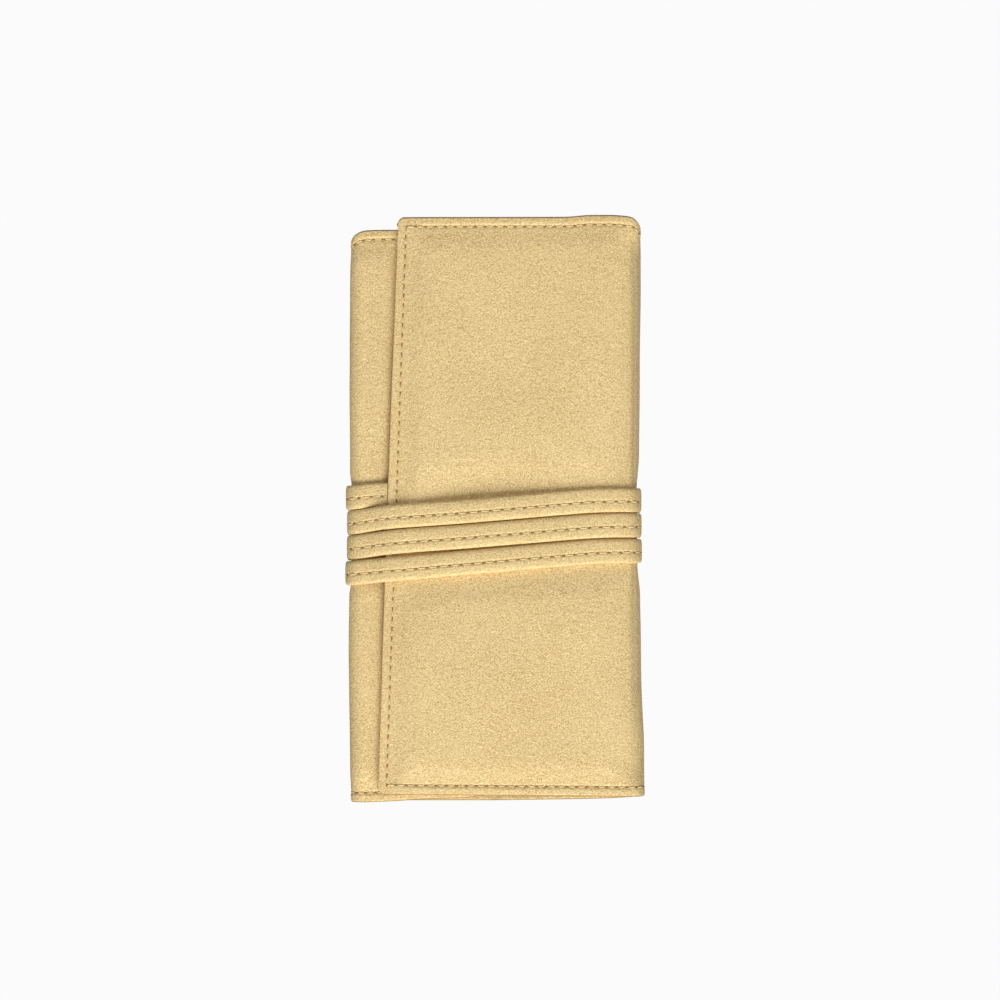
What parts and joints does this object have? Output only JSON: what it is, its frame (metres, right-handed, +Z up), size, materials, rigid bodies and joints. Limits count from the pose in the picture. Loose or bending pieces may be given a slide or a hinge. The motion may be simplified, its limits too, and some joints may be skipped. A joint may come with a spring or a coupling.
{
  "type": "jewelry roll",
  "caption": "Soft tri-fold jewelry roll in pebbled gold leather, closed and tied with a long wrapped strap, with zip pockets, ring bar and necklace tabs inside.",
  "frame": {"origin": "centre of the closed roll's footprint, on the surface it rests on", "axes": "+Z up from the surface through the cover, +Y along the roll, +X from the free edge towards the cover's fold"},
  "size_m": [0.1114, 0.2164, 0.0238],
  "materials": {
    "gold_leather": "pebbled champagne-gold leather with a soft metallic sheen",
    "strap_leather": "the same leather cut as a flat strap, one row of stitching along its middle",
    "pocket_leather": "smooth matt gold leather on pockets and tabs",
    "suede_lining": "brushed beige microsuede",
    "foam_wadding": "soft closed-cell foam wadding, hidden",
    "elastic_hem": "ribbed elastic binding",
    "zip_tape": "woven herringbone zip tape",
    "brass_hardware": "polished light brass"
  },
  "bodies": {
    "back": {"shell_back": "gold_leather", "pad_back_lower": "foam_wadding", "pad_back_upper": "foam_wadding", "lining_back": "suede_lining", "necklace_mount_strip": "pocket_leather", "necklace_tab_1_stud": "brass_hardware", "necklace_tab_2_stud": "brass_hardware", "necklace_tab_3_stud": "brass_hardware", "ring_bar_stud": "brass_hardware", "ring_bar_anchor": "pocket_leather", "chain_pouch": "suede_lining", "chain_pouch_hem": "elastic_hem"},
    "right_spine": {"shell_right_spine": "gold_leather", "pad_right_spine": "foam_wadding", "lining_right_spine": "suede_lining"},
    "cover_flap": {"shell_cover_flap": "gold_leather", "pad_cover_flap": "foam_wadding", "lining_cover_flap": "suede_lining", "cover_pocket_left": "pocket_leather", "cover_pocket_right": "pocket_leather", "cover_zip_tape_left": "zip_tape", "cover_zip_tape_right": "zip_tape", "cover_zip_teeth_left": "brass_hardware", "cover_zip_teeth_right": "brass_hardware", "cover_zip_stop_bottom": "brass_hardware", "cover_zip_stop_top": "brass_hardware", "wrap_strap": "strap_leather"},
    "cover_slider": {"cover_zip_slider": "brass_hardware"},
    "cover_pull": {"cover_zip_pull": "brass_hardware"},
    "left_spine": {"shell_left_spine": "gold_leather", "pad_left_spine": "foam_wadding", "lining_left_spine": "suede_lining"},
    "inner_panel": {"shell_inner_panel": "gold_leather", "pad_inner_panel": "foam_wadding", "lining_inner_panel": "suede_lining", "inner_pocket_left": "pocket_leather", "inner_pocket_right": "pocket_leather", "inner_zip_tape_left": "zip_tape", "inner_zip_tape_right": "zip_tape", "inner_zip_teeth_left": "brass_hardware", "inner_zip_teeth_right": "brass_hardware", "inner_zip_stop_bottom": "brass_hardware", "inner_zip_stop_top": "brass_hardware"},
    "inner_slider": {"inner_zip_slider": "brass_hardware"},
    "inner_pull": {"inner_zip_pull": "brass_hardware"},
    "ring_bar": {"ring_bar_roll": "suede_lining", "ring_bar_tab": "pocket_leather", "ring_bar_snap_socket": "brass_hardware", "ring_bar_snap_cap": "brass_hardware", "ring_bar_link": "pocket_leather"},
    "necklace_tab_1": {"necklace_tab_1": "pocket_leather", "necklace_tab_1_snap_socket": "brass_hardware", "necklace_tab_1_snap_cap": "brass_hardware"},
    "necklace_tab_2": {"necklace_tab_2": "pocket_leather", "necklace_tab_2_snap_socket": "brass_hardware", "necklace_tab_2_snap_cap": "brass_hardware"},
    "necklace_tab_3": {"necklace_tab_3": "pocket_leather", "necklace_tab_3_snap_socket": "brass_hardware", "necklace_tab_3_snap_cap": "brass_hardware"}
  },
  "joints": [
    {"name": "right_fold", "type": "hinge", "parent": "back", "child": "right_spine", "pos_m": [0.0559, 0, 0], "axis": [0, 1, 0], "range_deg": [0, 90], "deforming": ["wrap_strap"]},
    {"name": "cover_fold", "type": "hinge", "parent": "right_spine", "child": "cover_flap", "pos_m": [0.0559, 0, 0.024], "axis": [0, 1, 0], "range_deg": [0, 90]},
    {"name": "left_fold", "type": "hinge", "parent": "back", "child": "left_spine", "pos_m": [-0.0559, 0, 0], "axis": [0, -1, 0], "range_deg": [0, 90]},
    {"name": "inner_fold", "type": "hinge", "parent": "left_spine", "child": "inner_panel", "pos_m": [-0.0559, 0, 0.0191], "axis": [0, -1, 0], "range_deg": [0, 90]},
    {"name": "ring_bar_lift", "type": "hinge", "parent": "back", "child": "ring_bar", "pos_m": [0.014, -0.04785, 0.0066], "axis": [1, 0, 0], "range_deg": [0, 60]},
    {"name": "necklace_tab_1_lift", "type": "hinge", "parent": "back", "child": "necklace_tab_1", "pos_m": [-0.0429, 0.08065, 0.0066], "axis": [-1, 0, 0], "range_deg": [0, 80]},
    {"name": "necklace_tab_2_lift", "type": "hinge", "parent": "back", "child": "necklace_tab_2", "pos_m": [-0.0323, 0.08065, 0.0066], "axis": [-1, 0, 0], "range_deg": [0, 80]},
    {"name": "necklace_tab_3_lift", "type": "hinge", "parent": "back", "child": "necklace_tab_3", "pos_m": [-0.0217, 0.08065, 0.0066], "axis": [-1, 0, 0], "range_deg": [0, 80]},
    {"name": "cover_zip_slide", "type": "slide", "parent": "cover_flap", "child": "cover_slider", "axis": [0, -1, 0], "range_m": [0, 0.165]},
    {"name": "inner_zip_slide", "type": "slide", "parent": "inner_panel", "child": "inner_slider", "axis": [0, -1, 0], "range_m": [0, 0.1625]},
    {"name": "cover_pull_swing", "type": "hinge", "parent": "cover_slider", "child": "cover_pull", "pos_m": [0.0329, 0.08415, 0.0152], "axis": [1, 0, 0], "range_deg": [0, 60]},
    {"name": "inner_pull_swing", "type": "hinge", "parent": "inner_slider", "child": "inner_pull", "pos_m": [-0.0121, 0.07875, 0.0103], "axis": [1, 0, 0], "range_deg": [0, 60]}
  ],
  "couplings": [
    {"joint": "cover_fold", "follows": "right_fold", "ratio": 1},
    {"joint": "left_fold", "follows": "right_fold", "ratio": 1},
    {"joint": "inner_fold", "follows": "right_fold", "ratio": 1},
    {"joint": "ring_bar_lift", "follows": "right_fold", "ratio": 0.666},
    {"joint": "necklace_tab_1_lift", "follows": "right_fold", "ratio": 0.888},
    {"joint": "necklace_tab_2_lift", "follows": "right_fold", "ratio": 0.888},
    {"joint": "necklace_tab_3_lift", "follows": "right_fold", "ratio": 0.888},
    {"joint": "cover_pull_swing", "follows": "right_fold", "ratio": 0.666},
    {"joint": "inner_pull_swing", "follows": "right_fold", "ratio": 0.666}
  ]
}
